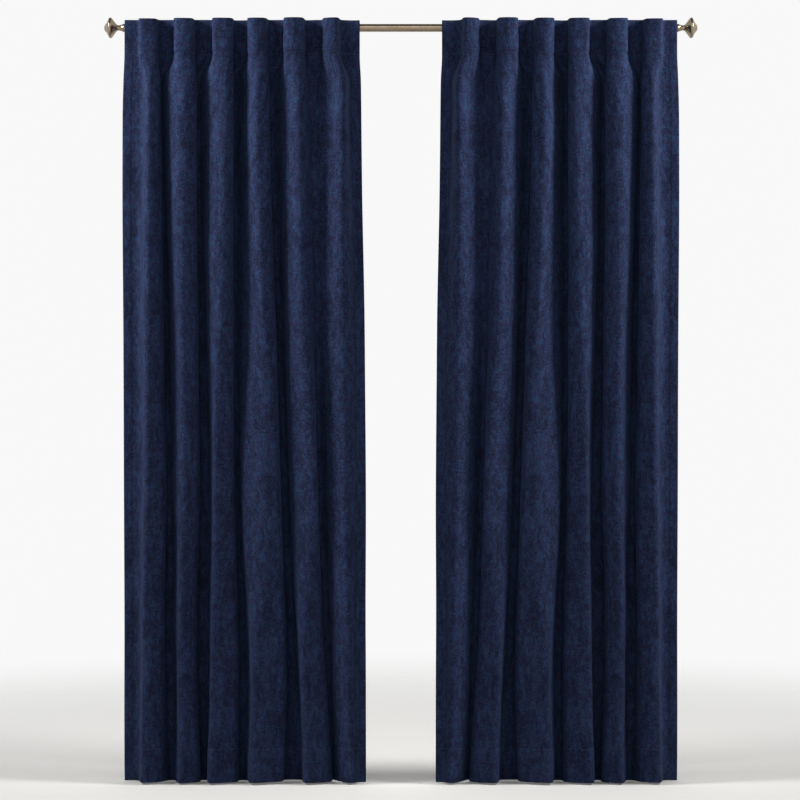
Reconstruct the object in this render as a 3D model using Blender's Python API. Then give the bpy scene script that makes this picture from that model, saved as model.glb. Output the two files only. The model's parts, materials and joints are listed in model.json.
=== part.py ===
"""Pair of opaque back-tab curtains on a round rod with turned finials.

Metres, +Z up. X runs along the rod and -Y is the room side. The origin is on the wall,
midway between the two brackets, at the height of the rod's axis.
"""

import math
from collections import namedtuple

import bmesh
import bpy

# Rod, finials and brackets.
ROD_DIAMETER = 0.022
ROD_HALF_LENGTH = 0.779
ROD_FROM_WALL = 0.090
ROUND_SIDES = 28
GAP = 0.0003
BRACKET_FROM_MIDDLE = 0.7075
BRACKET_WIDTH = 0.012
CRADLE_WALL = 0.004
CRADLE_LIP = 0.006
PLATE_DIAMETER = 0.046
PLATE_THICKNESS = 0.005
ARM_HEIGHT = 0.010

# Cloth.
CLOTH_THICKNESS = 0.002
FINISHED_WIDTH = 1.270
FINISHED_LENGTH = 2.134
TOP_ABOVE_ROD = 0.0195
HEADING_DEPTH = 0.096
CLOTH_FROM_ROD = 0.002
TAB_WIDTH = 0.030
TAB_THICKNESS = 0.0015
TAB_FROM_ROD = 0.0005
TAB_SEAM_BELOW_TOP = 0.003
TAB_SEAM_LENGTH = 0.010
TAB_BEGINS_AT = 122
TAB_STEPS = 8

ROD_RADIUS = ROD_DIAMETER / 2
HEM_HEIGHT = TOP_ABOVE_ROD - FINISHED_LENGTH
STITCH_HEIGHT = TOP_ABOVE_ROD - HEADING_DEPTH
CLOTH_BACK_Y = -ROD_FROM_WALL - ROD_RADIUS - CLOTH_FROM_ROD
FLAT_Y = CLOTH_BACK_Y - CLOTH_THICKNESS / 2

# Distances run outwards from the middle of the window, so that both panels share them.
# A fold has its two feet, its two sides, its crest, which is its foremost line, its reach,
# which is its depth against the other folds, and its valley, which is how far forward the
# cloth stays between it and the next fold, as a share of the depth. The outermost fold
# comes first.
Fold = namedtuple("Fold", "outer_foot outer crest inner inner_foot reach valley")
HEAD = [
    Fold(0.735, 0.731, 0.718, 0.685, 0.681, 0.80, 0.0),
    Fold(0.635, 0.632, 0.610, 0.581, 0.576, 0.90, 0.0),
    Fold(0.527, 0.524, 0.502, 0.473, 0.468, 0.95, 0.0),
    Fold(0.428, 0.425, 0.403, 0.379, 0.374, 1.00, 0.0),
    Fold(0.328, 0.324, 0.298, 0.272, 0.267, 1.05, 0.0),
    Fold(0.219, 0.215, 0.186, 0.176, 0.171, 0.95, 0.0),
]
NECK = [
    Fold(0.723, 0.710, 0.700, 0.670, 0.676, 0.85, 0.0),
    Fold(0.670, 0.634, 0.606, 0.569, 0.575, 0.95, 0.0),
    Fold(0.564, 0.526, 0.494, 0.466, 0.472, 1.00, 0.0),
    Fold(0.454, 0.417, 0.400, 0.369, 0.375, 1.00, 0.0),
    Fold(0.346, 0.316, 0.288, 0.270, 0.258, 1.05, 0.20),
    Fold(0.235, 0.191, 0.165, 0.154, 0.142, 1.00, 0.0),
]
CHEST = [
    Fold(0.725, 0.710, 0.699, 0.670, 0.676, 0.90, 0.0),
    Fold(0.669, 0.633, 0.605, 0.568, 0.574, 1.00, 0.0),
    Fold(0.564, 0.525, 0.491, 0.466, 0.472, 1.00, 0.0),
    Fold(0.458, 0.420, 0.400, 0.368, 0.374, 1.05, 0.0),
    Fold(0.353, 0.312, 0.284, 0.268, 0.254, 1.05, 0.35),
    Fold(0.236, 0.192, 0.164, 0.152, 0.139, 1.00, 0.05),
]
WAIST = [
    Fold(0.731, 0.715, 0.703, 0.665, 0.670, 0.95, 0.0),
    Fold(0.656, 0.622, 0.605, 0.566, 0.572, 1.00, 0.0),
    Fold(0.552, 0.530, 0.501, 0.468, 0.474, 1.00, 0.0),
    Fold(0.459, 0.405, 0.384, 0.353, 0.359, 1.05, 0.0),
    Fold(0.333, 0.313, 0.276, 0.253, 0.238, 1.05, 0.38),
    Fold(0.227, 0.200, 0.166, 0.143, 0.127, 1.00, 0.32),
]
KNEE = [
    Fold(0.730, 0.713, 0.704, 0.657, 0.662, 0.95, 0.0),
    Fold(0.643, 0.615, 0.603, 0.563, 0.569, 1.00, 0.0),
    Fold(0.534, 0.521, 0.511, 0.464, 0.470, 1.00, 0.0),
    Fold(0.450, 0.437, 0.372, 0.335, 0.341, 1.05, 0.0),
    Fold(0.312, 0.303, 0.248, 0.233, 0.238, 1.05, 0.15),
    Fold(0.218, 0.192, 0.158, 0.136, 0.120, 1.00, 0.45),
]
SHIN = [
    Fold(0.733, 0.717, 0.708, 0.658, 0.664, 0.95, 0.0),
    Fold(0.629, 0.618, 0.608, 0.569, 0.575, 1.00, 0.0),
    Fold(0.536, 0.529, 0.522, 0.452, 0.458, 1.00, 0.0),
    Fold(0.434, 0.414, 0.403, 0.318, 0.323, 1.05, 0.0),
    Fold(0.287, 0.279, 0.270, 0.212, 0.218, 1.00, 0.0),
    Fold(0.195, 0.187, 0.147, 0.136, 0.126, 1.00, 0.50),
]
HEM = [
    Fold(0.736, 0.722, 0.712, 0.667, 0.653, 0.95, 0.0),
    Fold(0.631, 0.620, 0.611, 0.558, 0.563, 1.00, 0.0),
    Fold(0.541, 0.533, 0.524, 0.453, 0.459, 1.00, 0.0),
    Fold(0.427, 0.418, 0.404, 0.328, 0.334, 1.05, 0.0),
    Fold(0.278, 0.270, 0.258, 0.188, 0.193, 1.00, 0.0),
    Fold(0.186, 0.158, 0.138, 0.126, 0.113, 0.95, 0.55),
]
# A section is a panel's plan at one height above the hem. Droop is how much a fold's side
# stays behind its crest, and corner is the length that the rounding of a bend takes.
Section = namedtuple("Section", "height outer_edge inner_edge droop corner folds")
SECTIONS = [
    Section(FINISHED_LENGTH - HEADING_DEPTH, 0.776, 0.116, 0.15, 0.009, HEAD),
    Section(1.965, 0.778, 0.112, 0.35, 0.016, NECK),
    Section(1.854, 0.780, 0.110, 0.40, 0.018, CHEST),
    Section(1.350, 0.780, 0.104, 0.45, 0.022, WAIST),
    Section(0.842, 0.777, 0.100, 0.45, 0.022, KNEE),
    Section(0.336, 0.777, 0.097, 0.45, 0.022, SHIN),
    Section(0.000, 0.774, 0.096, 0.45, 0.022, HEM),
]
# Heights above the hem of the rows of vertices below the heading.
ROWS_BELOW = [1.965, 1.854, 1.600, 1.350, 1.095, 0.842, 0.590, 0.336, 0.150, 0.0]
LONGEST_CORNER_SHARE = 0.46
CORNER_STEPS = 2
CORNERS_PER_FOLD = 5
CREST_PLACE = 3
LEAST_DEPTH, MOST_DEPTH = 0.010, 0.140
DEPTH_TRIES = 30

# A finial's outline: distance from its tip along the rod, and radius there.
FINIAL_PROFILE = [
    (0.0012, 0.0060),
    (0.0036, 0.0105),
    (0.0064, 0.0132),
    (0.0075, 0.0150),
    (0.0142, 0.0278),
    (0.0160, 0.0290),
    (0.0198, 0.0290),
    (0.0216, 0.0278),
    (0.0290, 0.0180),
    (0.0352, 0.0095),
    (0.0385, 0.0074),
    (0.0425, 0.0072),
    (0.0480, 0.0085),
    (0.0535, 0.0112),
    (0.0560, 0.0121),
]
FINIAL_LENGTH = FINIAL_PROFILE[-1][0]

# Name, colour, roughness and metallic value.
NAVY_CLOTH = ("navy_cloth", (0.012, 0.022, 0.060, 1.0), 0.85, 0.0)
SATIN_NICKEL = ("satin_nickel", (0.42, 0.36, 0.28, 1.0), 0.32, 1.0)
SMOOTH_BELOW = math.radians(35)
WELD_DISTANCE = 0.00001


def clear_scene():
    for item in list(bpy.data.objects):
        bpy.data.objects.remove(item)


def material(name, colour, roughness, metallic):
    made = bpy.data.materials.get(name)
    if made is None:
        made = bpy.data.materials.new(name)
        made.use_nodes = True
        shader = made.node_tree.nodes["Principled BSDF"]
        shader.inputs["Base Color"].default_value = colour
        shader.inputs["Roughness"].default_value = roughness
        shader.inputs["Metallic"].default_value = metallic
    return made


def object_from(bm, name, finish):
    bmesh.ops.recalc_face_normals(bm, faces=bm.faces)
    mesh = bpy.data.meshes.new(name)
    bm.to_mesh(mesh)
    bm.free()
    mesh.shade_smooth()
    mesh.set_sharp_from_angle(angle=SMOOTH_BELOW)
    mesh.materials.append(material(*finish))
    made = bpy.data.objects.new(name, mesh)
    bpy.context.collection.objects.link(made)
    return made


def round_bar(name, radius, start, end, finish):
    """A closed cylinder between two points."""
    bm = bmesh.new()
    bmesh.ops.create_cone(
        bm, cap_ends=True, segments=ROUND_SIDES, radius1=radius, radius2=radius, depth=math.dist(start, end)
    )
    made = object_from(bm, name, finish)
    along_x = start[0] != end[0]
    made.rotation_euler = (0, math.pi / 2, 0) if along_x else (math.pi / 2, 0, 0)
    made.location = [(a + b) / 2 for a, b in zip(start, end)]
    return made


def prism(name, outline, width, finish):
    """A closed outline in the YZ plane, extruded along X on both sides of the object's origin."""
    bm = bmesh.new()
    ring = [bm.verts.new((-width / 2, y, z)) for y, z in outline]
    face = bm.faces.new(ring)
    moved = bmesh.ops.extrude_face_region(bm, geom=[face])["geom"]
    verts = [item for item in moved if isinstance(item, bmesh.types.BMVert)]
    bmesh.ops.translate(bm, vec=(width, 0, 0), verts=verts)
    return object_from(bm, name, finish)


def arc(centre, radius, first, last, steps):
    """Points on an arc in the YZ plane. Angles are in degrees, from +Y towards +Z."""
    points = []
    for step in range(steps + 1):
        angle = math.radians(first + (last - first) * step / steps)
        points.append((centre[0] + radius * math.cos(angle), centre[1] + radius * math.sin(angle)))
    return points


def smooth_reading(heights, values, height):
    """A smooth curve through values at falling heights, level at the first, read at one height."""
    height = min(height, heights[0])
    slopes = [0.0]
    for place in range(1, len(values)):
        after = min(place + 1, len(values) - 1)
        slopes.append((values[after] - values[place - 1]) / (heights[after] - heights[place - 1]))
    upper = 0
    while upper < len(heights) - 2 and height < heights[upper + 1]:
        upper += 1
    lower = upper + 1
    span = heights[lower] - heights[upper]
    share = (height - heights[upper]) / span
    rise = values[lower] - values[upper]
    bend = (1 - share) * (slopes[upper] * span - rise) + share * (rise - slopes[lower] * span)
    return values[upper] + share * rise + share * (1 - share) * bend


def section_at(height):
    """A section at any height above the hem, between the ones in the table."""
    heights = [section.height for section in SECTIONS]

    def read(value):
        return smooth_reading(heights, [value(section) for section in SECTIONS], height)

    folds = []
    for place in range(len(HEAD)):
        folds.append(Fold(*[read(lambda s: s.folds[place][column]) for column in range(len(Fold._fields))]))
    sizes = [read(lambda s: s[column]) for column in range(1, len(Section._fields) - 1)]
    return Section(height, *sizes, folds)


def bends(section, depth):
    """The corners of a panel's plan: distance from the middle, and distance forward."""
    corners = [(section.outer_edge, 0.0)]
    valley = 0.0
    for fold in section.folds:
        width = fold.outer - fold.inner
        outer_reach = fold.reach * (1 - section.droop * (fold.outer - fold.crest) / width)
        inner_reach = fold.reach * (1 - section.droop * (fold.crest - fold.inner) / width)
        corners.append((fold.outer_foot, valley * depth))
        corners.append((fold.outer, outer_reach * depth))
        corners.append((fold.crest, fold.reach * depth))
        corners.append((fold.inner, inner_reach * depth))
        valley = fold.valley
        corners.append((fold.inner_foot, valley * depth))
    corners.append((section.inner_edge, valley * depth))
    return corners


def rounded(corners, corner_length):
    """The corners as a line, each bend rounded in a few steps, and a crest in one fewer."""
    line = [corners[0]]
    for place in range(1, len(corners) - 1):
        before, corner, after = corners[place - 1 : place + 2]
        steps = CORNER_STEPS - 1 if place % CORNERS_PER_FOLD == CREST_PLACE else CORNER_STEPS
        ends = []
        for other in (before, after):
            side = math.dist(corner, other)
            share = min(corner_length / side, LONGEST_CORNER_SHARE)
            ends.append([c + (o - c) * share for c, o in zip(corner, other)])
        for step in range(steps + 1):
            t = step / steps
            weights = ((1 - t) ** 2, 2 * t * (1 - t), t**2)
            points = (ends[0], corner, ends[1])
            line.append(tuple(sum(w * p[axis] for w, p in zip(weights, points)) for axis in (0, 1)))
    line.append(corners[-1])
    return line


def plan_at(height):
    """A panel's plan at one height, as deep as its cloth's width allows."""
    section = section_at(height)
    low, high = LEAST_DEPTH, MOST_DEPTH
    for _ in range(DEPTH_TRIES):
        depth = (low + high) / 2
        line = rounded(bends(section, depth), section.corner)
        length = sum(math.dist(a, b) for a, b in zip(line, line[1:]))
        if length < FINISHED_WIDTH:
            low = depth
        else:
            high = depth
    return line


def make_panel(side, name):
    """One panel, with side -1 on the left and 1 on the right."""
    heights = [FINISHED_LENGTH, FINISHED_LENGTH - HEADING_DEPTH] + ROWS_BELOW
    bm = bmesh.new()
    rows = []
    for height in heights:
        row = []
        for across, forward in plan_at(height):
            row.append(bm.verts.new((side * across, FLAT_Y - forward, HEM_HEIGHT + height)))
        rows.append(row)
    for upper, lower in zip(rows, rows[1:]):
        for place in range(len(upper) - 1):
            bm.faces.new((upper[place], upper[place + 1], lower[place + 1], lower[place]))
    panel = object_from(bm, name, NAVY_CLOTH)
    sheet = panel.modifiers.new("Cloth thickness", "SOLIDIFY")
    sheet.thickness = CLOTH_THICKNESS
    sheet.offset = 0.0
    sheet.use_even_offset = True
    return panel


def tab_outline():
    """A tab's section: down the back of the heading, over the rod and back to the stitch line."""
    middle = TAB_THICKNESS / 2
    front = CLOTH_BACK_Y + GAP + middle
    radius = ROD_RADIUS + TAB_FROM_ROD + middle
    rod = (-ROD_FROM_WALL, 0.0)
    low_seam = (front, STITCH_HEIGHT + TAB_SEAM_LENGTH)
    reach = math.dist(rod, low_seam)
    leaves_at = math.degrees(math.atan2(low_seam[1], low_seam[0] - rod[0]) + math.acos(radius / reach))
    line = [(front, TOP_ABOVE_ROD - TAB_SEAM_BELOW_TOP)]
    line += arc(rod, radius, TAB_BEGINS_AT, leaves_at, TAB_STEPS)
    line += [low_seam, (front, STITCH_HEIGHT)]
    return ribbon(line, TAB_THICKNESS)


def ribbon(line, thickness):
    """A closed outline around a line, half the thickness on each side of it."""
    sides = ([], [])
    for place, point in enumerate(line):
        before = line[max(place - 1, 0)]
        after = line[min(place + 1, len(line) - 1)]
        run = [b - a for a, b in zip(before, after)]
        length = math.hypot(*run)
        normal = (-run[1] / length, run[0] / length)
        for side, sign in zip(sides, (1, -1)):
            side.append([p + sign * n * thickness / 2 for p, n in zip(point, normal)])
    return sides[0] + sides[1][::-1]


def make_tabs(side, name):
    """Tabs behind the flats between the folds, and behind the two edges."""
    top = SECTIONS[0]
    flats = [top.outer_edge]
    for fold in top.folds:
        flats += [fold.outer, fold.inner]
    flats.append(top.inner_edge)
    for place in range(len(flats) // 2):
        across = (flats[2 * place] + flats[2 * place + 1]) / 2
        tab = prism(f"{name}_{place + 1}", tab_outline(), TAB_WIDTH, NAVY_CLOTH)
        tab.location.x = side * across


def make_rod():
    start = (-ROD_HALF_LENGTH, -ROD_FROM_WALL, 0.0)
    end = (ROD_HALF_LENGTH, -ROD_FROM_WALL, 0.0)
    round_bar("rod", ROD_RADIUS, start, end, SATIN_NICKEL)


def make_finial(side, name):
    """A turned finial, spun about the rod's axis, with its collar against the rod's end."""
    bm = bmesh.new()
    outline = [bm.verts.new((0, 0, 0))]
    outline += [bm.verts.new((distance, radius, 0)) for distance, radius in FINIAL_PROFILE]
    outline.append(bm.verts.new((FINIAL_LENGTH, 0, 0)))
    edges = [bm.edges.new(pair) for pair in zip(outline, outline[1:])]
    bmesh.ops.spin(
        bm, geom=outline + edges, axis=(1, 0, 0), cent=(0, 0, 0), steps=ROUND_SIDES, angle=math.tau
    )
    bmesh.ops.remove_doubles(bm, verts=bm.verts, dist=WELD_DISTANCE)
    finial = object_from(bm, name, SATIN_NICKEL)
    finial.location = (side * (ROD_HALF_LENGTH + GAP + FINIAL_LENGTH), -ROD_FROM_WALL, 0)
    finial.rotation_euler.z = 0 if side < 0 else math.pi
    return finial


def make_bracket(side, name):
    """An open cradle under the rod, its arm, and a round plate flat on the wall."""
    rod = (-ROD_FROM_WALL, 0.0)
    half_step = math.pi / ROUND_SIDES
    inner = (ROD_RADIUS + GAP) / math.cos(half_step)
    outer = inner + CRADLE_WALL
    turn = ROUND_SIDES // 2
    outline = [(rod[0] - outer, CRADLE_LIP)]
    outline += arc(rod, outer, -180, 0, turn)[:-1]
    underside = -ARM_HEIGHT / 2
    outline = [point for point in outline if point[0] < rod[0] or point[1] < underside]
    outline += [(-PLATE_THICKNESS / 2, underside), (-PLATE_THICKNESS / 2, -underside)]
    outline += [(rod[0] + outer, -underside), (rod[0] + outer, CRADLE_LIP), (rod[0] + inner, CRADLE_LIP)]
    outline += arc(rod, inner, 0, -180, turn)
    outline.append((rod[0] - inner, CRADLE_LIP))
    bracket = prism(name, outline, BRACKET_WIDTH, SATIN_NICKEL)
    bracket.location.x = side * BRACKET_FROM_MIDDLE
    across = side * BRACKET_FROM_MIDDLE
    plate = round_bar(
        f"{name}_plate", PLATE_DIAMETER / 2, (across, -PLATE_THICKNESS, 0), (across, 0, 0), SATIN_NICKEL
    )
    plate.hide_render = True
    plate.display_type = "WIRE"
    join = bracket.modifiers.new("Wall plate", "BOOLEAN")
    join.operation = "UNION"
    join.object = plate
    return bracket


def main():
    clear_scene()
    make_rod()
    for side, word in ((-1, "left"), (1, "right")):
        make_finial(side, f"finial_{word}")
        make_bracket(side, f"bracket_{word}")
        make_panel(side, f"panel_{word}")
        make_tabs(side, f"tab_{word}")


main()
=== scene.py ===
"""Builds the looks of a pair of navy back-tab curtains on a satin nickel rod.

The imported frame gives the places. Metres, +Z up, X along the rod, -Y towards the room.
"""

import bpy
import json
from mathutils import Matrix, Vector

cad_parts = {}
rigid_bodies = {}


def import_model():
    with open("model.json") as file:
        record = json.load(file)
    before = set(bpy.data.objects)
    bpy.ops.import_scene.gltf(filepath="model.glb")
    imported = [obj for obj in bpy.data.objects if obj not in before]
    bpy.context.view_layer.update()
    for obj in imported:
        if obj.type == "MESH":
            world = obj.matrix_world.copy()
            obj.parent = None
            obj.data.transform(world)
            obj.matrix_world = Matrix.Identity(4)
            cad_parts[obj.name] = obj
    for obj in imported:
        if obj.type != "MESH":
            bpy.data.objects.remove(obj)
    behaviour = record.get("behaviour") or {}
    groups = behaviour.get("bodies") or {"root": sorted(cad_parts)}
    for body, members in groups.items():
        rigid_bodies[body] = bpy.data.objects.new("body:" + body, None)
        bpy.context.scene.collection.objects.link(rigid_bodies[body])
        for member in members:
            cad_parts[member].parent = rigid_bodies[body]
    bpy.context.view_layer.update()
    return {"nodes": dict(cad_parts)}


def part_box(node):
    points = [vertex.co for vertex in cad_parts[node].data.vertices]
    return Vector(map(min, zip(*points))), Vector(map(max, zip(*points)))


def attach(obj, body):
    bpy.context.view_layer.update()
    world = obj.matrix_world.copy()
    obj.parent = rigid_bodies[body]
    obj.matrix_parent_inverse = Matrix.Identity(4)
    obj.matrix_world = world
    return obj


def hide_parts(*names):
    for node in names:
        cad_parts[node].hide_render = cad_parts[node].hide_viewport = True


bl_info = {
    "name": "Back-tab Curtain Pair",
    "version": (1, 0, 0),
    "blender": (4, 5, 0),
    "location": "View3D > Sidebar > Curtains",
    "description": "Hangs a pair of velvety back-tab curtains on a rod with turned finials",
    "category": "Add Mesh",
}

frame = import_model()

import json
import math
from collections import namedtuple

import bmesh
import bpy
import numpy as np
from bpy.props import FloatProperty, FloatVectorProperty, PointerProperty
from mathutils import Vector

# ---------------------------------------------------------------- places from the frame
SIDES = ((-1, "left"), (1, "right"))
TABS_PER_PANEL = sum(name.startswith("tab_left_") for name in frame["nodes"])
PANEL_LOW, PANEL_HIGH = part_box("panel_left")
HEM_Z, TOP_Z = PANEL_LOW[2], PANEL_HIGH[2]
PANEL_BACK_Y = PANEL_HIGH[1]
PANEL_FLAT_Y = PANEL_BACK_Y - 0.001
ROD_LOW, ROD_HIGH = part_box("rod")
ROD_RADIUS = (ROD_HIGH[2] - ROD_LOW[2]) / 2
ROD_Y = (ROD_LOW[1] + ROD_HIGH[1]) / 2
ROD_Z = (ROD_LOW[2] + ROD_HIGH[2]) / 2
ROD_END = ROD_HIGH[0]
FINIAL_LOW, FINIAL_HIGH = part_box("finial_right")
BRACKET_LOW, BRACKET_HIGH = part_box("bracket_right")
MIRROR = np.array([-1.0, 1.0, 1.0])

# ---------------------------------------------------------------- fittings
GAP = 0.0003
ROUND_SIDES = 96
CRISP_ANGLE = math.radians(32)
ROD_CHAMFER = 0.0006
BRACKET_WIDTH = 0.012
PLATE_RADIUS = (BRACKET_HIGH[2] - BRACKET_LOW[2]) / 2
PLATE_THICKNESS = 0.005
ARM_HEIGHT = 0.010
CRADLE_LIP = 0.006
CRADLE_STEPS = 48
BRACKET_ROUNDING, BRACKET_ROUNDING_STEPS = 0.0008, 3
# A plate's edge: distance in from its face, and in from its rim.
PLATE_EDGE = [(0.0016, 0.0), (0.0005, 0.0006), (0.0, 0.0022)]
PLATE_CORNER_CUTS, FINIAL_CORNER_CUTS = 2, 3
# A finial's outline: distance from its tip along the rod, and radius there.
FINIAL_PROFILE = [
    (0.0000, 0.0005),
    (0.0012, 0.0060),
    (0.0036, 0.0105),
    (0.0064, 0.0132),
    (0.0075, 0.0150),
    (0.0142, 0.0278),
    (0.0160, 0.0290),
    (0.0198, 0.0290),
    (0.0216, 0.0278),
    (0.0290, 0.0180),
    (0.0352, 0.0095),
    (0.0385, 0.0074),
    (0.0425, 0.0072),
    (0.0480, 0.0085),
    (0.0535, 0.0112),
    (0.0560, 0.0121),
]
TAB_THICKNESS = 0.0015
TAB_FROM_ROD = 0.0005
TAB_BELOW_TOP = 0.003
TAB_SEAM = 0.010
TAB_MEETS_ROD = math.radians(122)
TAB_TURN_STEPS = 24
TAB_ROWS, TAB_COLUMNS = 60, 12
TAB_RIPPLE = 0.0008
TAB_RIPPLE_ACROSS, TAB_RIPPLE_DOWN = 0.012, 0.030
TAB_FIRST_SEED = 50
TAB_HELD_ABOVE, TAB_HELD_BELOW, TAB_LOOSENS_OVER = 0.030, 0.020, 0.02
TAB_STITCHED_ROWS = (2, -3)
TAB_STITCH_INSET = 0.001
TAB_STITCH_POINTS = 12

# ---------------------------------------------------------------- stage
FLOOR_RADIUS, FLOOR_SIDES = 8.0, 128
FLOOR_FADE = (0.6, 3.6)
FLOOR_BELOW_HEM = 0.004
LIGHT_AIM = 0.45
SIDE_LIGHT_WIDTH, SIDE_LIGHT_HEIGHT = 0.7, 1.2
SIDE_LIGHT_RAISED = 1.2
FRONT_LIGHT_WIDTH, FRONT_LIGHT_HEIGHT = 1.6, 0.8
FRONT_LIGHT_RAISED = 1.1
SENSOR_WIDTH = 36.0
HALF_VIEW = 1.124
CAMERA_SIDEWAYS = -0.0024
CAMERA_ABOVE_HEM = 1.067
# Where the room blends into the backdrop, by how far a direction points to the wall, and into
# the ceiling, by how far it points up.
BACKDROP_TURN = (-0.55, 0.15)
CEILING_TURN = (0.40, 0.98)

# ---------------------------------------------------------------- the cloth's folds
FINISHED_WIDTH = 1.270
FINISHED_LENGTH = TOP_Z - HEM_Z
HEADING_DEPTH = 0.096
HEM_DEPTH = 0.094
SIDE_HEM = 0.023

# Distances run outwards from the middle of the window, so that both panels share them.
# A fold has its two feet, its two sides, its crest, which is its foremost line, its reach,
# which is its depth against the other folds, and its valley, which is how far forward the
# cloth stays between it and the next fold, as a share of the depth. The outermost fold
# comes first.
Fold = namedtuple("Fold", "outer_foot outer crest inner inner_foot reach valley")
HEAD = [
    Fold(0.735, 0.731, 0.718, 0.685, 0.681, 0.80, 0.0),
    Fold(0.635, 0.632, 0.610, 0.581, 0.576, 0.90, 0.0),
    Fold(0.527, 0.524, 0.502, 0.473, 0.468, 0.95, 0.0),
    Fold(0.428, 0.425, 0.403, 0.379, 0.374, 1.00, 0.0),
    Fold(0.328, 0.324, 0.298, 0.272, 0.267, 1.05, 0.0),
    Fold(0.219, 0.215, 0.186, 0.176, 0.171, 0.95, 0.0),
]
NECK = [
    Fold(0.723, 0.710, 0.700, 0.670, 0.676, 0.85, 0.0),
    Fold(0.670, 0.634, 0.606, 0.569, 0.575, 0.95, 0.0),
    Fold(0.564, 0.526, 0.494, 0.466, 0.472, 1.00, 0.0),
    Fold(0.454, 0.417, 0.400, 0.369, 0.375, 1.00, 0.0),
    Fold(0.346, 0.316, 0.288, 0.270, 0.258, 1.05, 0.20),
    Fold(0.235, 0.191, 0.165, 0.154, 0.142, 1.00, 0.0),
]
CHEST = [
    Fold(0.725, 0.710, 0.699, 0.670, 0.676, 0.90, 0.0),
    Fold(0.669, 0.633, 0.605, 0.568, 0.574, 1.00, 0.0),
    Fold(0.564, 0.525, 0.491, 0.466, 0.472, 1.00, 0.0),
    Fold(0.458, 0.420, 0.400, 0.368, 0.374, 1.05, 0.0),
    Fold(0.353, 0.312, 0.284, 0.268, 0.254, 1.05, 0.35),
    Fold(0.236, 0.192, 0.164, 0.152, 0.139, 1.00, 0.05),
]
WAIST = [
    Fold(0.731, 0.715, 0.703, 0.665, 0.670, 0.95, 0.0),
    Fold(0.656, 0.622, 0.605, 0.566, 0.572, 1.00, 0.0),
    Fold(0.552, 0.530, 0.501, 0.468, 0.474, 1.00, 0.0),
    Fold(0.459, 0.405, 0.384, 0.353, 0.359, 1.05, 0.0),
    Fold(0.333, 0.313, 0.276, 0.253, 0.238, 1.05, 0.38),
    Fold(0.227, 0.200, 0.166, 0.143, 0.127, 1.00, 0.32),
]
KNEE = [
    Fold(0.730, 0.713, 0.704, 0.657, 0.662, 0.95, 0.0),
    Fold(0.643, 0.615, 0.603, 0.563, 0.569, 1.00, 0.0),
    Fold(0.534, 0.521, 0.511, 0.464, 0.470, 1.00, 0.0),
    Fold(0.450, 0.437, 0.372, 0.335, 0.341, 1.05, 0.0),
    Fold(0.312, 0.303, 0.248, 0.233, 0.238, 1.05, 0.15),
    Fold(0.218, 0.192, 0.158, 0.136, 0.120, 1.00, 0.45),
]
SHIN = [
    Fold(0.733, 0.717, 0.708, 0.658, 0.664, 0.95, 0.0),
    Fold(0.629, 0.618, 0.608, 0.569, 0.575, 1.00, 0.0),
    Fold(0.536, 0.529, 0.522, 0.452, 0.458, 1.00, 0.0),
    Fold(0.434, 0.414, 0.403, 0.318, 0.323, 1.05, 0.0),
    Fold(0.287, 0.279, 0.270, 0.212, 0.218, 1.00, 0.0),
    Fold(0.195, 0.187, 0.147, 0.136, 0.126, 1.00, 0.50),
]
HEM = [
    Fold(0.736, 0.722, 0.712, 0.667, 0.653, 0.95, 0.0),
    Fold(0.631, 0.620, 0.611, 0.558, 0.563, 1.00, 0.0),
    Fold(0.541, 0.533, 0.524, 0.453, 0.459, 1.00, 0.0),
    Fold(0.427, 0.418, 0.404, 0.328, 0.334, 1.05, 0.0),
    Fold(0.278, 0.270, 0.258, 0.188, 0.193, 1.00, 0.0),
    Fold(0.186, 0.158, 0.138, 0.126, 0.113, 0.95, 0.55),
]
# A section is a panel's plan at one height above the hem. Droop is how much a fold's side
# stays behind its crest, and corner is the length that the rounding of a bend takes.
Section = namedtuple("Section", "height outer_edge inner_edge droop corner folds")
SECTIONS = [
    Section(FINISHED_LENGTH - HEADING_DEPTH, 0.776, 0.116, 0.15, 0.009, HEAD),
    Section(1.965, 0.778, 0.112, 0.35, 0.016, NECK),
    Section(1.854, 0.780, 0.110, 0.40, 0.018, CHEST),
    Section(1.350, 0.780, 0.104, 0.45, 0.022, WAIST),
    Section(0.842, 0.777, 0.100, 0.45, 0.022, KNEE),
    Section(0.336, 0.777, 0.097, 0.45, 0.022, SHIN),
    Section(0.000, 0.774, 0.096, 0.45, 0.022, HEM),
]
LONGEST_CORNER_SHARE = 0.46
CORNER_STEPS = 6
LEAST_DEPTH, MOST_DEPTH = 0.010, 0.140
DEPTH_TRIES = 16
PLAN_STEPS = 420
PLAN_SOFTENING = 3
COLUMNS, ROWS = 300, 156
EDGE_ROUNDING = 0.2
STITCH_SIDES = 6
STITCH_ENDS = 0.45
STITCH_DIP = 1.2
# A stitch's outline, against its length and the thread's radius.
STITCH_PROFILE = [(-0.5, 0.45), (-0.36, 1.0), (0.36, 1.0), (0.5, 0.45)]
TURNED_EDGE = 0.003
FINE_STEPS = 4000
CLOTH_LAYOUT = "ClothLayout"
CLOTH_GLOSS = 0.06

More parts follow.
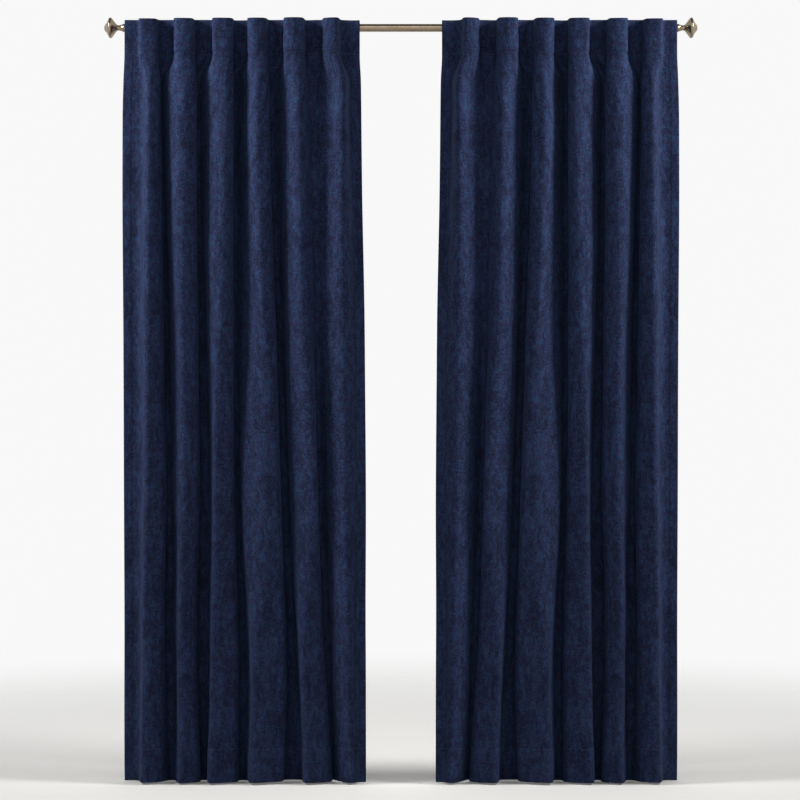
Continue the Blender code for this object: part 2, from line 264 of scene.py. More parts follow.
# A ripple is seeded noise over a piece of cloth, in patches of a size across and down. Patches
# longer than the cloth hardly change on their way down it.
Ripple = namedtuple("Ripple", "seed across down height")
LATTICE = 64
LONGER_THAN_CLOTH = 9.0
SWAY = Ripple(11, 0.18, 0.42, 1.0)
TOP_RIPPLE = Ripple(23, 0.050, LONGER_THAN_CLOTH, 0.0010)
HEM_RIPPLE = Ripple(29, 0.070, LONGER_THAN_CLOTH, 0.0012)
CLOTH_RIPPLES = [
    Ripple(31, 0.060, 0.210, 0.0020),
    Ripple(37, 0.026, 0.085, 0.0009),
    Ripple(41, 0.012, 0.030, 0.0003),
]
PUCKERS = [Ripple(43, 0.009, LONGER_THAN_CLOTH, 1.0), Ripple(47, 0.021, LONGER_THAN_CLOTH, 0.6)]
SWAY_GROWS_OVER = 0.10
HEADING_SAG_REACH, HEM_LIFT_REACH = 0.10, 0.20
TOP_RIPPLE_REACH, HEM_RIPPLE_REACH = 0.03, 0.05
HEADING_PUCKER_REACH, HEM_PUCKER_REACH = 0.022, 0.018
HEM_PUCKER_SHARE = 0.7
RELIEF_GROWS_OVER, RELIEF_ON_FLATS = 0.012, 0.15
TROUGH_HALF_WIDTH, HEM_TROUGH_HALF_WIDTH = 0.004, 0.0035
HEM_TROUGH_SHARE, SIDE_TROUGH_SHARE = 0.8, 0.6

# A crease is a soft ridge or, with a negative height, a trough in the cloth: where it lies
# across the cloth from the outer edge and above the hem, half its size each way, how far it
# stands out, and how much it leans across for each metre down.
Crease = namedtuple("Crease", "across above_hem half_across half_down height lean")
CREASES = [
    Crease(0.110, 2.012, 0.030, 0.006, 0.0020, 0.0),
    Crease(0.135, 1.960, 0.010, 0.050, 0.0022, 0.05),
    Crease(0.262, 1.900, 0.009, 0.070, 0.0022, -0.10),
    Crease(0.330, 1.930, 0.012, 0.060, 0.0024, -0.08),
    Crease(0.505, 1.985, 0.011, 0.045, 0.0022, 0.10),
    Crease(0.742, 1.905, 0.010, 0.080, 0.0020, -0.06),
    Crease(0.930, 1.850, 0.012, 0.090, 0.0018, 0.08),
    Crease(0.560, 0.980, 0.014, 0.120, 0.0020, 0.10),
    Crease(0.770, 0.560, 0.013, 0.110, 0.0022, -0.08),
    Crease(0.760, 0.146, 0.060, 0.005, 0.0020, 0.0),
    Crease(0.352, 0.250, 0.010, 0.100, 0.0018, 0.06),
]


def smooth_reading(heights, values, height):
    """A smooth curve through values at falling heights, level at the first, read at one height."""
    height = min(height, heights[0])
    slopes = [0.0]
    for place in range(1, len(values)):
        after = min(place + 1, len(values) - 1)
        slopes.append((values[after] - values[place - 1]) / (heights[after] - heights[place - 1]))
    upper = 0
    while upper < len(heights) - 2 and height < heights[upper + 1]:
        upper += 1
    lower = upper + 1
    span = heights[lower] - heights[upper]
    share = (height - heights[upper]) / span
    rise = values[lower] - values[upper]
    bend = (1 - share) * (slopes[upper] * span - rise) + share * (rise - slopes[lower] * span)
    return values[upper] + share * rise + share * (1 - share) * bend


def section_at(height):
    """A section at any height above the hem, between the ones in the table."""
    heights = [section.height for section in SECTIONS]

    def read(value):
        return smooth_reading(heights, [value(section) for section in SECTIONS], height)

    folds = []
    for place in range(len(HEAD)):
        folds.append(Fold(*[read(lambda s: s.folds[place][column]) for column in range(len(Fold._fields))]))
    sizes = [read(lambda s: s[column]) for column in range(1, len(Section._fields) - 1)]
    return Section(height, *sizes, folds)


def bends(section, depth):
    """The corners of a panel's plan: distance from the middle, and distance forward."""
    corners = [(section.outer_edge, 0.0)]
    valley = 0.0
    for fold in section.folds:
        width = fold.outer - fold.inner
        outer_reach = fold.reach * (1 - section.droop * (fold.outer - fold.crest) / width)
        inner_reach = fold.reach * (1 - section.droop * (fold.crest - fold.inner) / width)
        corners.append((fold.outer_foot, valley * depth))
        corners.append((fold.outer, outer_reach * depth))
        corners.append((fold.crest, fold.reach * depth))
        corners.append((fold.inner, inner_reach * depth))
        valley = fold.valley
        corners.append((fold.inner_foot, valley * depth))
    corners.append((section.inner_edge, valley * depth))
    return np.array(corners)


def rounded(corners, corner_length):
    """The corners as a line, with each bend rounded."""
    sides = np.linalg.norm(np.diff(corners, axis=0), axis=1)
    shares = np.minimum(corner_length / sides, LONGEST_CORNER_SHARE)[:, None]
    into = corners[1:-1] + (corners[:-2] - corners[1:-1]) * shares[:-1]
    out_of = corners[1:-1] + (corners[2:] - corners[1:-1]) * shares[1:]
    t = np.linspace(0, 1, CORNER_STEPS + 1)[None, :, None]
    bend = (1 - t) ** 2 * into[:, None] + 2 * t * (1 - t) * corners[1:-1, None] + t**2 * out_of[:, None]
    return np.vstack([corners[:1], bend.reshape(-1, 2), corners[-1:]])


def line_length(line):
    return np.linalg.norm(np.diff(line, axis=0), axis=1).sum()


def spaced_along(line, shares):
    """Points on a line at shares of its length."""
    along = np.concatenate([[0], np.cumsum(np.linalg.norm(np.diff(line, axis=0), axis=1))])
    return np.stack([np.interp(shares * along[-1], along, line[:, axis]) for axis in (0, 1)], axis=1)


def plan_at(height, across):
    """A panel's plan at one height, as deep as its cloth's width allows, at distances across the cloth."""
    section = section_at(height)
    low, high = LEAST_DEPTH, MOST_DEPTH
    for _ in range(DEPTH_TRIES):
        depth = (low + high) / 2
        line = rounded(bends(section, depth), section.corner)
        if line_length(line) < FINISHED_WIDTH:
            low = depth
        else:
            high = depth
    line = spaced_along(line, np.linspace(0, 1, PLAN_STEPS + 1))
    for _ in range(PLAN_SOFTENING):
        line[1:-1] = (line[:-2] + 2 * line[1:-1] + line[2:]) / 4
    return spaced_along(line, across / FINISHED_WIDTH)


def rippled(ripple, across, down):
    """A ripple over a piece of cloth: smooth noise from minus its height to its height."""
    lattice = np.random.default_rng(ripple.seed).uniform(-1, 1, (LATTICE, LATTICE))
    x, y = across / ripple.across, down / ripple.down
    column, row = np.floor(x).astype(int), np.floor(y).astype(int)
    u, v = x - column, y - row
    u, v = u * u * (3 - 2 * u), v * v * (3 - 2 * v)

    def corner(dx, dy):
        return lattice[(row + dy) % LATTICE, (column + dx) % LATTICE]

    upper = corner(0, 0) * (1 - u) + corner(1, 0) * u
    lower = corner(0, 1) * (1 - u) + corner(1, 1) * u
    return (upper * (1 - v) + lower * v) * ripple.height


def bump_at(distance, half_width):
    return np.exp(-((distance / half_width) ** 2))


def closer_near(length, steps, places):
    """Steps along a length that crowd together near some places: (place, half width, crowding)."""
    fine = np.linspace(0, length, FINE_STEPS)
    density = np.ones_like(fine)
    for place, half_width, crowding in places:
        density += crowding * bump_at(fine - place, half_width)
    total = np.concatenate([[0], np.cumsum((density[1:] + density[:-1]) / 2)])
    return np.interp(np.linspace(0, total[-1], steps + 1), total, fine)


def cloth_grid():
    """Distances across the cloth and heights above its hem, closer together at its seams."""
    seams_across = [(SIDE_HEM, 0.008, 1.5), (FINISHED_WIDTH - SIDE_HEM, 0.008, 1.5)]
    across = closer_near(FINISHED_WIDTH, COLUMNS, seams_across)
    seams_down = [(0, 0.06, 2.0), (HEADING_DEPTH, 0.02, 4.0), (FINISHED_LENGTH - HEM_DEPTH, 0.02, 3.0)]
    down = closer_near(FINISHED_LENGTH, ROWS, seams_down)
    return across, FINISHED_LENGTH - down


def seam_troughs(across, height, depth):
    """How far the rows of stitching draw the cloth in."""
    heading = bump_at(height - (FINISHED_LENGTH - HEADING_DEPTH), TROUGH_HALF_WIDTH)
    hem = bump_at(height - HEM_DEPTH, HEM_TROUGH_HALF_WIDTH)
    between_hems = (height > HEM_DEPTH) & (height < FINISHED_LENGTH - HEADING_DEPTH)
    sides = bump_at(across - SIDE_HEM, TROUGH_HALF_WIDTH)
    sides += bump_at(across - FINISHED_WIDTH + SIDE_HEM, TROUGH_HALF_WIDTH)
    return depth * (heading + HEM_TROUGH_SHARE * hem + SIDE_TROUGH_SHARE * sides * between_hems)


def panel_surface(sizes):
    """The middle of a left panel's cloth as a grid of points, with the layout that it was cut to."""
    across, heights = cloth_grid()
    plans = np.array([plan_at(height, across) for height in heights])
    height = np.repeat(heights[:, None], len(across), axis=1)
    width = np.repeat(across[None, :], len(heights), axis=0)
    forward = plans[:, :, 1]
    deepest = forward.max(axis=1, keepdims=True)
    middle = np.stack([-plans[:, :, 0], PANEL_FLAT_Y - forward, HEM_Z + height], axis=2)

    below_top = FINISHED_LENGTH - height
    loose = 1 - np.exp(-(np.maximum(below_top - HEADING_DEPTH, 0) / SWAY_GROWS_OVER))
    middle[:, :, 0] += rippled(SWAY, width, height) * sizes.sway * loose
    middle[:, :, 2] -= sizes.heading_sag * (forward / deepest) * bump_at(below_top, HEADING_SAG_REACH)
    middle[:, :, 2] += sizes.hem_lift * (forward / deepest) * bump_at(height, HEM_LIFT_REACH)
    middle[:, :, 2] += rippled(TOP_RIPPLE, width, height) * bump_at(below_top, TOP_RIPPLE_REACH)
    middle[:, :, 2] += rippled(HEM_RIPPLE, width, height) * bump_at(height, HEM_RIPPLE_REACH)

    relief = sum(rippled(ripple, width, height) * sizes.unevenness for ripple in CLOTH_RIPPLES)
    puckers = sum(rippled(ripple, width, height) for ripple in PUCKERS)
    relief += sizes.puckers * puckers * bump_at(below_top - HEADING_DEPTH, HEADING_PUCKER_REACH)
    relief += HEM_PUCKER_SHARE * sizes.puckers * puckers * bump_at(height - HEM_DEPTH, HEM_PUCKER_REACH)
    for crease in CREASES:
        leaning = width - crease.across - crease.lean * (crease.above_hem - height)
        spread = bump_at(leaning, crease.half_across) * bump_at(height - crease.above_hem, crease.half_down)
        relief += crease.height * spread
    relief -= seam_troughs(width, height, sizes.stitch_draw)
    relief *= np.clip(forward / RELIEF_GROWS_OVER + RELIEF_ON_FLATS, RELIEF_ON_FLATS, 1.0)
    middle += outward_from(middle) * relief[..., None]
    return middle, np.stack([width, height], axis=2)


def outward_from(grid):
    """The direction that each point of a sheet faces."""
    outward = np.cross(np.gradient(grid, axis=0), np.gradient(grid, axis=1))
    return outward / np.linalg.norm(outward, axis=2, keepdims=True)


def turned_back(layout):
    """Where the cloth is turned to the back in its heading and its hems, with soft edges."""
    width, height = layout[..., 0], layout[..., 1]
    from_side = np.minimum(width, FINISHED_WIDTH - width)
    from_seam = np.minimum(height - HEM_DEPTH, FINISHED_LENGTH - HEADING_DEPTH - height)
    inside = np.minimum(from_side - SIDE_HEM, from_seam)
    return np.clip(0.5 - inside / TURNED_EDGE, 0, 1)


# ---------------------------------------------------------------- meshes
def mesh_object(name, points, faces, finishes, layout=None, finish_of_face=None, crisp_above=None):
    """A smooth-shaded object from points and faces, with its cloth layout as a UV map."""
    mesh = bpy.data.meshes.new(name)
    mesh.from_pydata(np.asarray(points).tolist(), [], faces)
    for finish in finishes:
        mesh.materials.append(finish)
    if finish_of_face is not None:
        mesh.polygons.foreach_set("material_index", finish_of_face.astype(np.int32))
    if layout is not None:
        uv_map = mesh.uv_layers.new(name=CLOTH_LAYOUT)
        corners = np.empty(len(mesh.loops), dtype=np.int32)
        mesh.loops.foreach_get("vertex_index", corners)
        uv_map.data.foreach_set("uv", np.asarray(layout)[corners].astype(np.float32).ravel())
    mesh.shade_smooth()
    if crisp_above is not None:
        mesh.set_sharp_from_angle(angle=crisp_above)
    mesh.update()
    made = bpy.data.objects.new(name, mesh)
    bpy.context.collection.objects.link(made)
    return made


def grid_faces(rows, columns, first=0):
    """Quads over a grid of points that is stored row after row."""
    corner = first + np.arange(rows)[:, None] * (columns + 1) + np.arange(columns)[None, :]
    quads = np.stack([corner, corner + 1, corner + columns + 2, corner + columns + 1], axis=-1)
    return quads.reshape(-1, 4)


def around_edge(rows, columns):
    """Row and column of each point round the edge of a grid, once round."""
    ring = [(0, column) for column in range(columns)]
    ring += [(row, columns) for row in range(rows)]
    ring += [(rows, column) for column in range(columns, 0, -1)]
    ring += [(row, 0) for row in range(rows, 0, -1)]
    return np.array(ring)


def thick_sheet(name, middle, layout, before, behind, finishes, back_finish, mirrored):
    """A closed sheet round a grid of points, with rounded edges. Before and behind are how far its
    two faces stand off the grid, and back finish is the finish of each face on its reverse."""
    outward = outward_from(middle)
    front = middle + outward * before[..., None]
    back = middle - outward * behind[..., None]
    rows, columns = middle.shape[0] - 1, middle.shape[1] - 1
    count = middle.shape[0] * middle.shape[1]
    ring = around_edge(rows, columns)
    row, column = ring.T
    inner_row, inner_column = np.clip(ring, 1, [rows - 1, columns - 1]).T
    centre = (front + back) / 2
    away = centre[row, column] - centre[inner_row, inner_column]
    away /= np.linalg.norm(away, axis=1, keepdims=True)
    rim = centre[row, column] + away * (before + behind)[row, column, None] * EDGE_ROUNDING
    points = np.vstack([front.reshape(-1, 3), back.reshape(-1, 3), rim])

    face = grid_faces(rows, columns)
    reverse = grid_faces(rows, columns, count)[:, ::-1]
    here = np.arange(len(ring))
    after = np.roll(here, -1)
    on_face = row * (columns + 1) + column
    front_rim = np.stack([on_face[here], 2 * count + here, 2 * count + after, on_face[after]], axis=1)
    back_rim = np.stack(
        [2 * count + here, count + on_face[here], count + on_face[after], 2 * count + after], axis=1
    )
    faces = np.vstack([face, reverse, front_rim, back_rim])
    finish_of_face = np.concatenate([np.zeros(len(face)), back_finish, np.zeros(2 * len(ring))])
    if mirrored:
        points = points * MIRROR
    else:
        faces = faces[:, ::-1]
    uv = np.vstack([layout.reshape(-1, 2), layout.reshape(-1, 2), layout[row, column]])
    return mesh_object(name, points, faces.tolist(), finishes, uv, finish_of_face)


def turned_shape(profile, sides):
    """Points and faces of a closed shape turned about X: distance along X, and radius there."""
    angles = np.linspace(0, math.tau, sides, endpoint=False)
    profile = np.array(profile)
    rings = np.empty((len(profile), sides, 3))
    rings[:, :, 0] = profile[:, :1]
    rings[:, :, 1] = profile[:, 1:] * np.cos(angles)
    rings[:, :, 2] = profile[:, 1:] * np.sin(angles)
    side = np.arange(sides)
    following = np.roll(side, -1)
    faces = []
    for ring in range(len(profile) - 1):
        low, high = ring * sides, (ring + 1) * sides
        faces += np.stack([low + side, low + following, high + following, high + side], axis=1).tolist()
    faces.append(side[::-1].tolist())
    faces.append(((len(profile) - 1) * sides + side).tolist())
    return rings.reshape(-1, 3), faces


def corners_cut(line, times):
    """A line with its corners cut again and again, which rounds them."""
    line = np.array(line, dtype=float)
    for _ in range(times):
        near, far = line[:-1] * 0.75 + line[1:] * 0.25, line[:-1] * 0.25 + line[1:] * 0.75
        between = np.stack([near, far], axis=1).reshape(-1, line.shape[1])
        line = np.vstack([line[:1], between[1:-1], line[-1:]])
    return line


def stitch_shape(length, radius):
    """One stitch along X: a short thread that dips at both ends."""
    points, faces = turned_shape([(x * length, r * radius) for x, r in STITCH_PROFILE], STITCH_SIDES)
    points[:, 2] -= radius * STITCH_DIP * (np.abs(points[:, 0]) > STITCH_ENDS * length)
    return points, faces


def stitches_on(line, outward, length, gap, radius):
    """Points and faces of a row of stitches along a line on the cloth."""
    along = np.concatenate([[0], np.cumsum(np.linalg.norm(np.diff(line, axis=0), axis=1))])
    places = np.arange(length, along[-1] - length, length + gap)

    def read(values, distance):
        return np.stack([np.interp(distance, along, values[:, axis]) for axis in range(3)], axis=1)

    centre, up = read(line, places), read(outward, places)
    ahead = read(line, places + length / 2) - read(line, places - length / 2)
    ahead /= np.linalg.norm(ahead, axis=1, keepdims=True)
    sideways = np.cross(up, ahead)
    sideways /= np.linalg.norm(sideways, axis=1, keepdims=True)
    up = np.cross(ahead, sideways)
    shape, shape_faces = stitch_shape(length, radius)
    points = centre[:, None] + shape[None, :, :1] * ahead[:, None]
    points += shape[None, :, 1:2] * sideways[:, None] + shape[None, :, 2:] * up[:, None]
    firsts = [stitch * len(shape) for stitch in range(len(places))]
    faces = [[corner + first for corner in face] for first in firsts for face in shape_faces]
    return points.reshape(-1, 3), faces


def gathered(parts):
    """Several lots of points and faces as one."""
    points, faces, first = [], [], 0
    for part_points, part_faces in parts:
        points.append(part_points)
        faces += [[corner + first for corner in face] for face in part_faces]
        first += len(part_points)
    return np.vstack(points), faces


# ---------------------------------------------------------------- shader maths
class Socket:
    """A node's output, so that shader maths reads as Python."""

    def __init__(self, graph, output):
        self.graph, self.output = graph, output

    def maths(self, operation, *values):
        return self.graph.node("ShaderNodeMath", {"operation": operation}, dict(enumerate(values)))

    def __add__(self, other):
        return self.maths("ADD", self, other)

    def __sub__(self, other):
        return self.maths("SUBTRACT", self, other)

    def __rsub__(self, other):
        return self.maths("SUBTRACT", other, self)

    def __mul__(self, other):
        return self.maths("MULTIPLY", self, other)

    __radd__ = __add__
    __rmul__ = __mul__

    def between(self, low, high):
        """0 below low, 1 above high and smooth in between."""
        settings = {"interpolation_type": "SMOOTHSTEP"}
        inputs = {"Value": self, "From Min": low, "From Max": high}
        return self.graph.node("ShaderNodeMapRange", settings, inputs)


class Graph:
    """A node tree being built."""

    def __init__(self, owner):
        owner.use_nodes = True
        self.nodes, self.links = owner.node_tree.nodes, owner.node_tree.links

    def node(self, kind, settings=None, inputs=None, output=0):
        made = self.nodes.new(kind)
        for name, value in (settings or {}).items():
            setattr(made, name, value)
        self.feed(made, inputs or {})
        return Socket(self, made.outputs[output])

    def feed(self, made, inputs):
        for name, value in inputs.items():
            socket = made.inputs[name]
            if isinstance(value, Socket):
                self.links.new(value.output, socket)
            else:
                socket.default_value = value

    def blend(self, share, low, high):
        """A mix of two colours."""
        settings = {"data_type": "RGBA"}
        return self.node("ShaderNodeMix", settings, {0: share, 6: low, 7: high}, output=2)

    def noise(self, place, stretch, detail, roughness, seed, distortion=0.0):
        """Noise over a place in metres. Stretch is the size of its patches along each axis."""
        scale = [1 / size for size in stretch]
        placing = {"Vector": place, "Scale": scale, "Location": (seed, seed, 0)}
        moved = self.node("ShaderNodeMapping", None, placing)
        inputs = {
            "Vector": moved, "Scale": 1.0, "Detail": detail, "Roughness": roughness, "Distortion": distortion,
        }
        return self.node("ShaderNodeTexNoise", None, inputs)


def new_finish(name, **constants):
    """A material and its graph, with the shader's constant sockets set."""
    finish = bpy.data.materials.new(name)
    graph = Graph(finish)
    shader = graph.nodes["Principled BSDF"]
    for socket, value in constants.items():
        shader.inputs[socket.replace("_", " ")].default_value = value
    return finish, graph, shader


def rgba(colour):
    return (*colour[:3], 1.0)


def velvety_cloth(finishes):
    """Crushed navy pile: a close grain of tufts in clumps, drifting in hue, with painted sheen on the tufts
    that stand up and painted shade on the flattened ones, at random.
    """
    finish, graph, shader = new_finish(
        "velvety_cloth", Sheen_Weight=finishes.sheen, Sheen_Roughness=0.35,
        Sheen_Tint=rgba(finishes.sheen_colour), Specular_IOR_Level=CLOTH_GLOSS,
    )
    place = graph.node("ShaderNodeUVMap", {"uv_map": CLOTH_LAYOUT})
    tufts = graph.noise(place, (0.0042, 0.0056, 1), 2.0, 0.60, 3.1, 0.3)
    clumps = graph.noise(place, (0.012, 0.026, 1), 3.0, 0.60, 17.3, 0.4)
    drifts = graph.noise(place, (0.030, 0.095, 1), 3.0, 0.55, 41.7, 0.6)
    hues = graph.noise(place, (0.011, 0.016, 1), 1.0, 0.50, 77.7)
    # Painted sheen and painted shade: random patches of tufts take the lit navy, and the rest take the shaded
    # navy.
    lit = (tufts * 0.44 + clumps * 0.28 + drifts * 0.28).between(0.39, 0.61)
    pile = graph.blend(hues.between(0.38, 0.62), rgba(finishes.pile_violet), rgba(finishes.pile_painted_sheen))
    colour = graph.blend(lit, rgba(finishes.pile_painted_shade_and_thread_dark), pile)
    height = tufts * 0.8 + clumps * 0.9
    bump = graph.node("ShaderNodeBump", None, {"Height": height, "Strength": 0.8, "Distance": 0.0020})
    graph.feed(shader, {"Base Color": colour, "Roughness": 0.96 - lit * 0.16, "Normal": bump})
    return finish


def cloth_reverse(finishes):
    """The plain back of the cloth: a close weave with no pile."""
    finish, graph, shader = new_finish("cloth_reverse", Specular_IOR_Level=CLOTH_GLOSS)
    place = graph.node("ShaderNodeUVMap", {"uv_map": CLOTH_LAYOUT})
    warp = graph.noise(place, (0.0009, 0.0300, 1), 2.0, 0.55, 5.2)
    weft = graph.noise(place, (0.0300, 0.0009, 1), 2.0, 0.55, 8.6)
    drifts = graph.noise(place, (0.060, 0.150, 1), 2.0, 0.50, 2.3)
    weave = (warp * 0.5 + weft * 0.5).between(0.35, 0.65)
    colour = graph.blend(weave * 0.7 + drifts * 0.3, rgba(finishes.reverse_deep), rgba(finishes.reverse_lit))
    bump = graph.node("ShaderNodeBump", None, {"Height": weave, "Strength": 0.4, "Distance": 0.0006})
    graph.feed(shader, {"Base Color": colour, "Roughness": 0.86 + weave * 0.1, "Normal": bump})
    return finish


def sewing_thread(finishes):
    finish, graph, shader = new_finish("sewing_thread", Sheen_Weight=0.2)
    place = graph.node("ShaderNodeTexCoord", output="Object")
    twist = graph.noise(place, (0.0006, 0.0006, 0.0006), 2.0, 0.6, 1.7)
    colour = graph.blend(twist.between(0.35, 0.65), rgba(finishes.pile_painted_shade_and_thread_dark), rgba(finishes.thread))
    graph.feed(shader, {"Base Color": colour, "Roughness": 0.72 - twist * 0.15})
    return finish


def satin_nickel(finishes):
    """Warm nickel plate with fine turning lines round the rod's axis and a faint mottle."""
    finish, graph, shader = new_finish("satin_nickel", Metallic=1.0)
    place = graph.node("ShaderNodeTexCoord", output="Object")
    lines = graph.noise(place, (0.0005, 0.020, 0.020), 3.0, 0.6, 4.4)
    mottle = graph.noise(place, (0.030, 0.012, 0.012), 3.0, 0.6, 6.1)
    worn = mottle.between(0.35, 0.70)
    colour = graph.blend(worn * 0.5, rgba(finishes.nickel), rgba(finishes.nickel_dark))
    roughness = finishes.nickel_roughness - 0.04 + lines * 0.06 + worn * 0.05
    bump = graph.node("ShaderNodeBump", None, {"Height": lines, "Strength": 0.12, "Distance": 0.0002})
    graph.feed(shader, {"Base Color": colour, "Roughness": roughness, "Normal": bump})
    return finish


def painted_floor(studio):
    """A pale floor that fades into the backdrop away from the curtains."""
    finish, graph, shader = new_finish("pale_floor")
    place = graph.node("ShaderNodeTexCoord", output="Object")
    haze = graph.noise(place, (1.4, 1.4, 1.4), 3.0, 0.5, 2.0)
    shade = [channel * 0.97 for channel in studio.floor_colour]
    colour = graph.blend(haze, rgba(studio.floor_colour), rgba(shade))
    graph.feed(shader, {"Base Color": colour, "Roughness": 0.75 + haze * 0.1})
    distance = graph.node("ShaderNodeVectorMath", {"operation": "LENGTH"}, {0: place}, output="Value")
    painted = Socket(graph, shader.outputs[0])
    clear = graph.node("ShaderNodeBsdfTransparent")
    fading = graph.node("ShaderNodeMixShader", None, {0: distance.between(*FLOOR_FADE), 1: painted, 2: clear})
    graph.feed(graph.nodes["Material Output"], {"Surface": fading})
    return finish


# ---------------------------------------------------------------- sizes and colours
class CurtainSizes(bpy.types.PropertyGroup):
    """Sizes of the cloth and its sewing."""

    cloth_thickness: FloatProperty(
        name="Cloth thickness", description="Thickness of one layer of cloth, pile included",
        default=0.0018, min=0.001, max=0.003, precision=4, subtype="DISTANCE", unit="LENGTH",
    )
    hem_thickness: FloatProperty(
        name="Hem thickness", description="Thickness of the cloth where it is turned back and sewn down",
        default=0.0030, min=0.001, max=0.006, precision=4, subtype="DISTANCE", unit="LENGTH",
    )
    unevenness: FloatProperty(
        name="Unevenness", description="How strongly the cloth's surface ripples, against its usual ripples",
        default=1.0, min=0.0, max=3.0,
    )
    sway: FloatProperty(
        name="Sway", description="How far the folds wander sideways on their way down",
        default=0.0022, min=0.0, max=0.01, precision=4, subtype="DISTANCE", unit="LENGTH",
    )
    puckers: FloatProperty(
        name="Puckers", description="Height of the small gathers along the heading's stitching",
        default=0.0007, min=0.0, max=0.003, precision=4, subtype="DISTANCE", unit="LENGTH",
    )
    stitch_draw: FloatProperty(
        name="Stitch draw", description="Depth of the trough that a row of stitches pulls in the cloth",
        default=0.0011, min=0.0, max=0.003, precision=4, subtype="DISTANCE", unit="LENGTH",
    )
    heading_sag: FloatProperty(
        name="Heading sag", description="How much lower the front of a fold hangs at the top edge",
        default=0.0030, min=0.0, max=0.01, precision=4, subtype="DISTANCE", unit="LENGTH",
    )
    hem_lift: FloatProperty(
        name="Hem lift", description="How much higher the front of a fold ends at the hem",
        default=0.0035, min=0.0, max=0.01, precision=4, subtype="DISTANCE", unit="LENGTH",
    )
    stitch_length: FloatProperty(
        name="Stitch length", description="Length of one stitch that shows",
        default=0.0030, min=0.001, max=0.008, precision=4, subtype="DISTANCE", unit="LENGTH",
    )
    stitch_gap: FloatProperty(
        name="Stitch gap", description="Distance between the stitches of a row",
        default=0.0010, min=0.0002, max=0.005, precision=4, subtype="DISTANCE", unit="LENGTH",
    )
    thread_thickness: FloatProperty(
        name="Thread thickness", description="Diameter of the sewing thread",
        default=0.0005, min=0.0001, max=0.002, precision=4, subtype="DISTANCE", unit="LENGTH",
    )


class CurtainFinishes(bpy.types.PropertyGroup):
    """Colours and gloss of the cloth and the metal."""

    # Painted shade: the navy of the pile where it lies away from the light, also the darker strands of the
    # sewing thread's twist.
    pile_painted_shade_and_thread_dark: FloatVectorProperty(
        name="Flattened pile", description="Colour of the pile where it lies away from the light",
        default=(0.0062, 0.0080, 0.0205), size=3, min=0.0, max=1.0, subtype="COLOR",
    )
    # Painted sheen: the brighter navy of the pile where it stands up and catches the light.
    pile_painted_sheen: FloatVectorProperty(
        name="Lit pile", description="Colour of the pile where it stands up",
        default=(0.0130, 0.0280, 0.0700), size=3, min=0.0, max=1.0, subtype="COLOR",
    )
    pile_violet: FloatVectorProperty(
        name="Violet pile", description="The warmer navy that the clumps drift towards",
        default=(0.0148, 0.0178, 0.0495), size=3, min=0.0, max=1.0, subtype="COLOR",
    )
    sheen_colour: FloatVectorProperty(
        name="Sheen colour", description="Colour of the soft light along the pile's edge",
        default=(0.20, 0.32, 0.62), size=3, min=0.0, max=1.0, subtype="COLOR",
    )
    sheen: FloatProperty(
        name="Sheen", description="Strength of the soft light along the pile's edge",
        default=0.10, min=0.0, max=1.0, subtype="FACTOR",
    )
    reverse_deep: FloatVectorProperty(
        name="Reverse, deep", description="Colour of the weave's hollows on the back of the cloth",
        default=(0.0110, 0.0150, 0.0340), size=3, min=0.0, max=1.0, subtype="COLOR",
    )
    reverse_lit: FloatVectorProperty(
        name="Reverse, lit", description="Colour of the yarn on the back of the cloth",
        default=(0.0280, 0.0400, 0.0800), size=3, min=0.0, max=1.0, subtype="COLOR",
    )
    thread: FloatVectorProperty(
        name="Thread", description="Colour of the sewing thread",
        default=(0.0140, 0.0210, 0.0500), size=3, min=0.0, max=1.0, subtype="COLOR",
    )
    nickel: FloatVectorProperty(
        name="Nickel", description="Colour of the rod, the finials and the brackets",
        default=(0.280, 0.220, 0.155), size=3, min=0.0, max=1.0, subtype="COLOR",
    )
    nickel_dark: FloatVectorProperty(
        name="Dull nickel", description="Colour of the metal where its plating is duller",
        default=(0.190, 0.142, 0.095), size=3, min=0.0, max=1.0, subtype="COLOR",
    )
    nickel_roughness: FloatProperty(
        name="Nickel roughness", description="How satin the metal is",
        default=0.24, min=0.05, max=0.8, subtype="FACTOR",
    )


class CurtainStudio(bpy.types.PropertyGroup):
    """The floor, the lights and the camera."""

    floor_colour: FloatVectorProperty(
        name="Floor colour", description="Colour of the pale floor",
        default=(0.66, 0.65, 0.63), size=3, min=0.0, max=1.0, subtype="COLOR",
    )
    side_light_power: FloatProperty(
        name="Side light power", description="Power of the tall light at each side",
        default=58.0, min=0.0, max=2000.0, subtype="POWER", unit="POWER",
    )
    side_light_out: FloatProperty(
        name="Side light place", description="Distance of each side light from the middle",
        default=3.60, min=0.5, max=8.0, subtype="DISTANCE", unit="LENGTH",
    )
    side_light_forward: FloatProperty(
        name="Side light distance", description="Distance of each side light in front of the wall",
        default=1.15, min=0.1, max=8.0, subtype="DISTANCE", unit="LENGTH",
    )
    side_light_spread: FloatProperty(
        name="Side light spread", description="Angle over which each side light shines",
        default=math.radians(80), min=0.1, max=math.pi, subtype="ANGLE", unit="ROTATION",
    )
    front_light_power: FloatProperty(
        name="Front light power", description="Power of the wide light in front of and above the curtains",
        default=6.0, min=0.0, max=2000.0, subtype="POWER", unit="POWER",
    )
    front_light_forward: FloatProperty(
        name="Front light distance", description="Distance of the front light in front of the wall",
        default=2.00, min=0.5, max=8.0, subtype="DISTANCE", unit="LENGTH",
    )
    backdrop_light: FloatProperty(
        name="Backdrop light", description="Brightness of the backdrop behind the curtains",
        default=0.94, min=0.0, max=4.0,
    )
    room_light: FloatProperty(
        name="Room light", description="Brightness of the room that the curtains face",
        default=1.10, min=0.0, max=4.0,
    )
    ceiling_light: FloatProperty(
        name="Ceiling light", description="Brightness straight above",
        default=0.12, min=0.0, max=4.0,
    )
    camera_distance: FloatProperty(
        name="Camera distance", description="Distance from the camera to the cloth's flats",
        default=7.0, min=1.0, max=30.0, subtype="DISTANCE", unit="LENGTH",
    )


